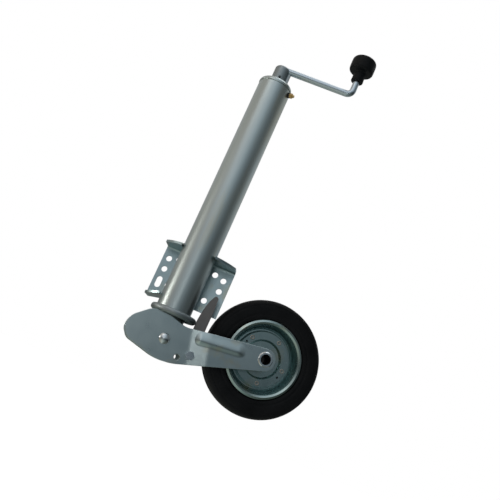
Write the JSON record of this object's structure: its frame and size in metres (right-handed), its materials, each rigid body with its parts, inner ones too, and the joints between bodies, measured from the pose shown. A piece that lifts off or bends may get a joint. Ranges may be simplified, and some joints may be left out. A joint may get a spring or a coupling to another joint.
{
  "type": "trailer tongue jack",
  "caption": "Retracting trailer tongue jack: round tube with a top crank, a bolt-on side plate, and a wheel on a folding fork that swings up beside the tube when wound in.",
  "frame": {"origin": "centre of the inner four-hole bolt rectangle, on the plate's rear face", "axes": "+Z along the tube towards the crank, +Y out of the plate's rear face into the trailer's drawbar, +X towards the side the folded wheel lies on"},
  "size_m": [0.3315, 0.1265, 0.6646],
  "materials": {
    "bearing_steel": "ground steel",
    "black_rubber": "black seal",
    "bolt_zinc": "bright zinc fastener",
    "brass": "turned brass",
    "bronze": "greased bronze",
    "guide_plastic": "natural nylon",
    "inner_steel": "greased plated steel",
    "knob_plastic": "moulded black plastic",
    "lever_steel": "dull matt zinc",
    "rubber": "solid black rubber",
    "weld": "zinc-plated weld bead",
    "zinc_rim": "bright zinc plate on drawn sheet",
    "zinc_sheet": "bright zinc plate on pressed sheet",
    "zinc_tube": "bright zinc plate, slightly yellowed"
  },
  "bodies": {
    "housing": {"outer_tube": "zinc_tube", "top_cap": "zinc_tube", "top_bush": "bronze", "bottom_ring": "zinc_tube", "mounting_plate": "zinc_sheet", "weld_beads": "weld", "grease_nipple": "brass", "nipple_washer": "black_rubber", "bearing_upper_race": "bearing_steel", "bearing_balls": "bearing_steel", "lower_guide_bush": "guide_plastic"},
    "crank": {"spindle": "inner_steel", "spindle_collar": "inner_steel", "bearing_lower_race": "bearing_steel", "crank_hub": "zinc_tube", "roll_pin": "bearing_steel", "crank_arm": "zinc_tube", "knob_retainer": "bearing_steel"},
    "knob_grip": {"knob": "knob_plastic"},
    "nut_carriage": {"spindle_nut": "bronze", "nut_guide_ring": "guide_plastic"},
    "inner_assembly": {"inner_tube": "inner_steel", "swivel_bush": "bronze", "foot_bracket": "inner_steel", "pivot_bushes": "bronze", "lock_cam": "inner_steel"},
    "fork": {"front_cheek": "zinc_sheet", "rear_cheek": "zinc_sheet", "pivot_pin": "bolt_zinc", "lever_bolt": "bolt_zinc", "lever_nut": "bolt_zinc", "lever_sleeve": "bolt_zinc", "axle_tube": "bolt_zinc", "axle_spacers": "bolt_zinc"},
    "lever": {"release_lever": "lever_steel", "lever_spring": "bearing_steel"},
    "wheel": {"tyre": "rubber", "rim_front": "zinc_rim", "rim_rear": "zinc_rim", "hub_ring_front": "zinc_rim", "hub_ring_rear": "zinc_rim", "hub_tube": "zinc_rim", "hub_bushes": "guide_plastic"}
  },
  "joints": [
    {"name": "crank_spin", "type": "hinge", "parent": "housing", "child": "crank", "pos_m": [0, -0.046, 0.392], "axis": [0, 0, 1], "range_deg": [0, 18000]},
    {"name": "knob_spin", "type": "hinge", "parent": "crank", "child": "knob_grip", "pos_m": [0.13229, -0.05967, 0.458], "axis": [0, 0, 1], "continuous": true},
    {"name": "tube_extend", "type": "slide", "parent": "housing", "child": "nut_carriage", "axis": [0, 0, -1], "range_m": [0, 0.2]},
    {"name": "castor_swivel", "type": "hinge", "parent": "nut_carriage", "child": "inner_assembly", "pos_m": [0, -0.046, 0.251], "axis": [0, 0, 1], "range_deg": [-170, 0]},
    {"name": "fork_fold", "type": "hinge", "parent": "inner_assembly", "child": "fork", "pos_m": [0.00292, -0.0453, -0.113], "axis": [-0.2334, 0.9724, 0], "range_deg": [0, 92]},
    {"name": "lever_release", "type": "hinge", "parent": "fork", "child": "lever", "pos_m": [0.0494, -0.03414, -0.1218], "axis": [-0.2334, 0.9724, 0], "range_deg": [0, 5], "stiffness_Nm_per_rad": 1.5, "springref_deg": -20.05, "deforming": ["lever_spring"]},
    {"name": "wheel_spin", "type": "hinge", "parent": "fork", "child": "wheel", "pos_m": [0.16336, -0.00678, -0.0786], "axis": [-0.2334, 0.9724, 0], "continuous": true}
  ],
  "couplings": [
    {"joint": "tube_extend", "follows": "crank_spin", "m_per_rad": 0.00063662},
    {"joint": "fork_fold", "follows": "crank_spin", "ratio": 0.0051111}
  ]
}
